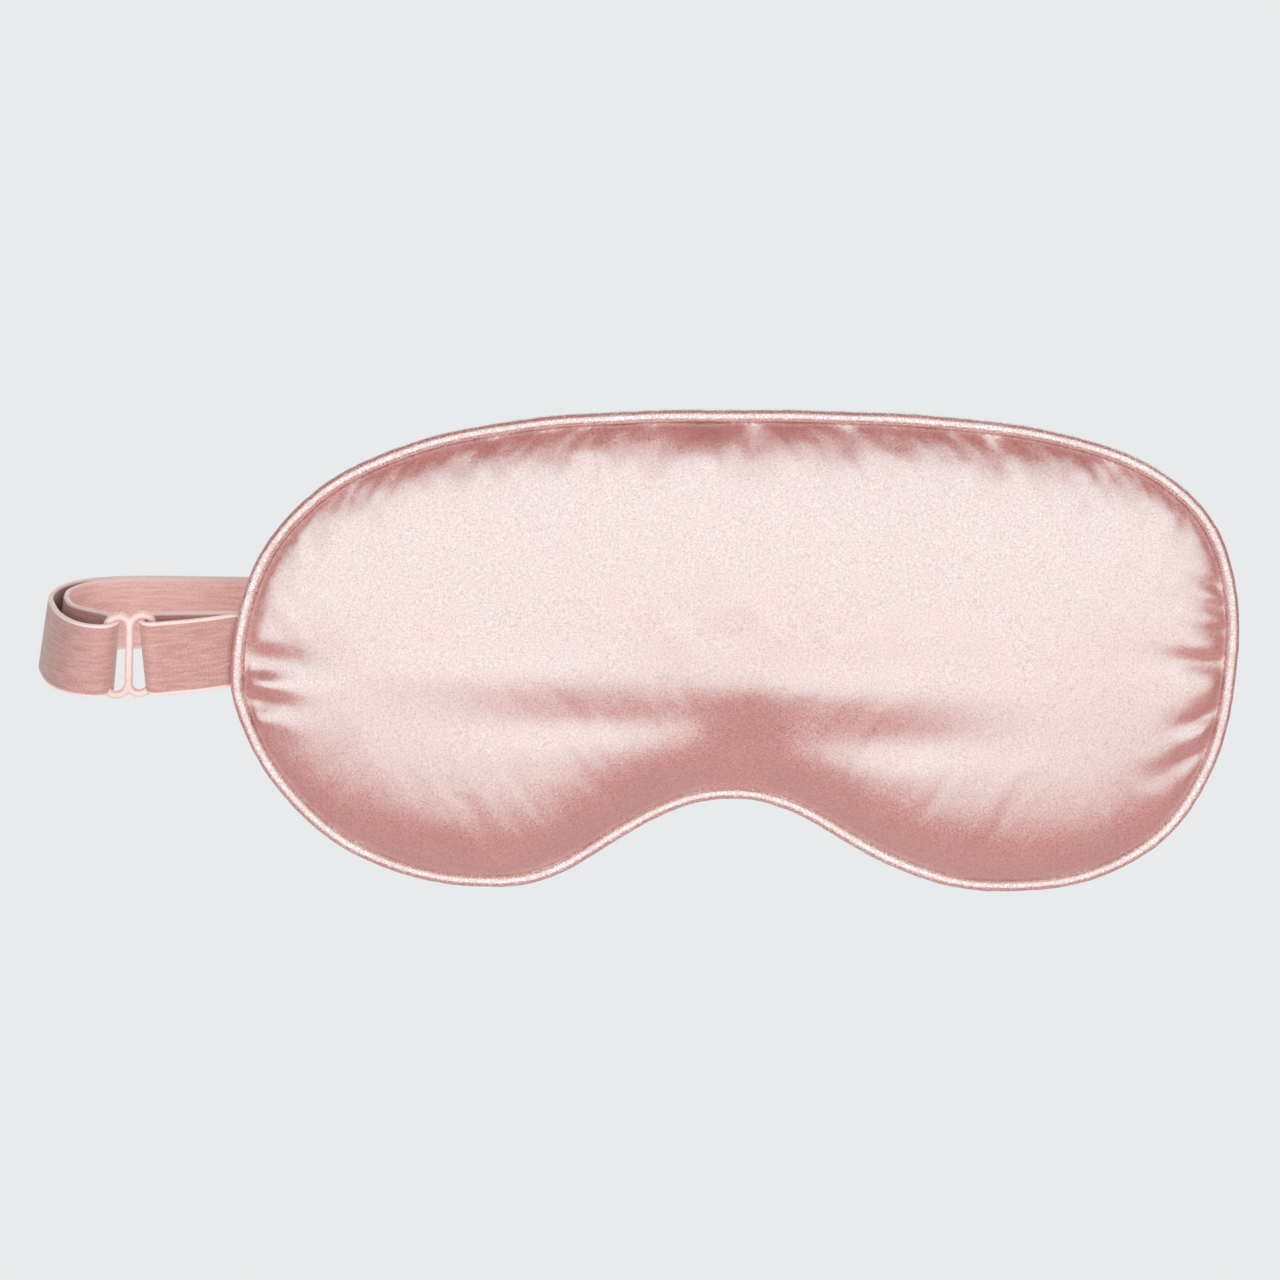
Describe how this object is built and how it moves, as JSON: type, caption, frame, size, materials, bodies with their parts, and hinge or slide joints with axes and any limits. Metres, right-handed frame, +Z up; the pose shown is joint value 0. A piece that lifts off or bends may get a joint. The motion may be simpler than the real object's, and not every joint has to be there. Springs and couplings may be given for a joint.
{
  "type": "sleep eye mask",
  "caption": "Padded satin sleep mask with corded piping and an elastic head strap that runs through a ring and is set by a slide.",
  "frame": {"origin": "middle of the mask's back, where it rests on the wearer's face", "axes": "+Z up as worn, +X to the right seen from the front, -Y the way the mask faces"},
  "size_m": [0.25, 0.0372, 0.1058],
  "materials": {
    "satin": "glossy satin weave, blush pink",
    "piping_satin": "satin bias strip, blush pink",
    "elastic": "ribbed woven elastic, dusty pink",
    "ring_plastic": "pale pink moulded nylon, slightly translucent",
    "wadding": "polyester wadding",
    "lining": "black woven blackout lining",
    "cord": "twisted cotton piping cord",
    "thread": "spun polyester sewing thread"
  },
  "bodies": {
    "mask": {"front_cover": "satin", "back_cover": "satin", "front_wadding": "wadding", "back_wadding": "wadding", "blackout_lining": "lining", "piping_sleeve": "piping_satin", "piping_cord": "cord", "front_seam_thread": "thread", "back_seam_thread": "thread", "strap_ring_loop": "elastic", "strap_far_run": "elastic"},
    "strap_bend": {"strap_bend_outer": "elastic", "strap_bend_inner": "elastic"},
    "slide": {"strap_slide": "ring_plastic", "strap_end_loop": "elastic", "end_loop_tack": "thread", "strap_inner_run": "elastic"},
    "tab": {"strap_tab": "elastic"},
    "ring": {"strap_ring": "ring_plastic"}
  },
  "joints": [
    {"name": "bend_follow", "type": "slide", "parent": "mask", "child": "strap_bend", "axis": [-1, 0, 0], "range_m": [0, 0.015]},
    {"name": "slide_travel", "type": "slide", "parent": "strap_bend", "child": "slide", "axis": [-1, 0, 0], "range_m": [0, 0.045], "deforming": ["strap_inner_run"]},
    {"name": "tab_swing", "type": "hinge", "parent": "mask", "child": "tab", "pos_m": [-0.1058, -0.00575, 0], "axis": [0, 0, 1], "range_deg": [-8, 8], "stiffness_Nm_per_rad": 0.002},
    {"name": "ring_swivel", "type": "hinge", "parent": "tab", "child": "ring", "pos_m": [-0.12142, -0.00921, 0], "axis": [0, 0, 1], "range_deg": [-22, 22]}
  ],
  "couplings": [
    {"joint": "bend_follow", "follows": "slide_travel", "ratio": 0.33333},
    {"joint": "ring_swivel", "follows": "tab_swing", "ratio": -2.6667}
  ]
}
